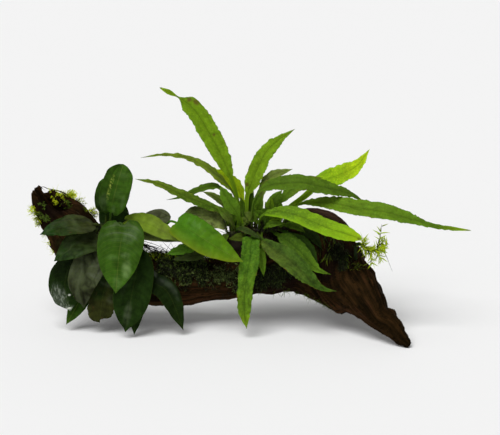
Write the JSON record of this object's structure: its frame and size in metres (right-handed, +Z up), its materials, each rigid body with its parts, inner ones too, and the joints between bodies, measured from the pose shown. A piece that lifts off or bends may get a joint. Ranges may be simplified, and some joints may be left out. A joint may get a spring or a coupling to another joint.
{
  "type": "java fern on driftwood",
  "caption": "Aquarium driftwood log with java fern fronds, broad anubias leaves and moss grown onto it; rests on its own roots.",
  "frame": {"origin": "on the ground, at the centre of the bounding box's foot", "axes": "+X along the log, from the broken horn on the left to the low front foot on the right; -Y towards the side seen in the picture; +Z up"},
  "size_m": [0.4167, 0.1512, 0.2276],
  "materials": {
    "wood": "dark brown waterlogged wood, matt to satin, fine grain along it",
    "fern": "thin leathery fern fronds, yellow-green to dark green, some with brown spots",
    "anubias": "thick leathery leaves, dark green with paler veins, wet gloss on some",
    "rhizome": "green-brown creeping stem, satin",
    "roots": "dark brown felt of hair roots, matt",
    "moss": "moss fronds, bright green where new and dark olive where old, matt"
  },
  "bodies": {
    "root": {"driftwood_horn": "wood", "driftwood_trunk": "wood", "driftwood_front_limb": "wood", "driftwood_left_root": "wood", "driftwood_back_root": "wood", "fern_rhizome": "rhizome", "anubias_rhizome": "rhizome", "fern_root_mat": "roots", "fern_leaf_tall": "fern", "fern_leaf_arching_left": "fern", "fern_leaf_yellow_left": "fern", "fern_leaf_long_left": "fern", "fern_leaf_hooked": "fern", "fern_leaf_olive": "fern", "fern_leaf_short_bright": "fern", "fern_leaf_short_pale": "fern", "fern_leaf_upright": "fern", "fern_leaf_arching_right": "fern", "fern_leaf_long_right": "fern", "fern_leaf_yellow_right": "fern", "fern_leaf_front_right": "fern", "fern_leaf_hanging": "fern", "fern_leaf_hanging_small": "fern", "fern_leaf_spotted": "fern", "fern_leaf_low_right": "fern", "fern_leaf_shaded_upper": "fern", "fern_leaf_shaded_lower": "fern", "fern_leaf_small_front": "fern", "fern_leaf_grey_upright": "fern", "fern_leaf_behind_right": "fern", "fern_leaf_young_centre": "fern", "fern_leaf_young_right": "fern", "fern_leaf_brown": "fern", "fern_leaf_low_left": "fern", "anubias_leaf_upright": "anubias", "anubias_leaf_upright_back": "anubias", "anubias_leaf_dark_back": "anubias", "anubias_leaf_left_upper": "anubias", "anubias_leaf_left_middle": "anubias", "anubias_leaf_front": "anubias", "anubias_leaf_grey": "anubias", "anubias_leaf_wet": "anubias", "anubias_leaf_low_left": "anubias", "anubias_leaf_ragged": "anubias", "anubias_leaf_low_front": "anubias", "anubias_leaf_low_back": "anubias", "anubias_leaf_low_right": "anubias", "anubias_leaf_pale_right": "anubias", "anubias_leaf_behind_right": "anubias", "anubias_leaf_young": "anubias", "moss_on_trunk": "moss", "moss_below_fern": "moss", "moss_on_shoulder": "moss", "moss_on_horn_side": "moss", "moss_on_horn_rim": "moss", "moss_tuft_right": "moss"}
  },
  "joints": []
}
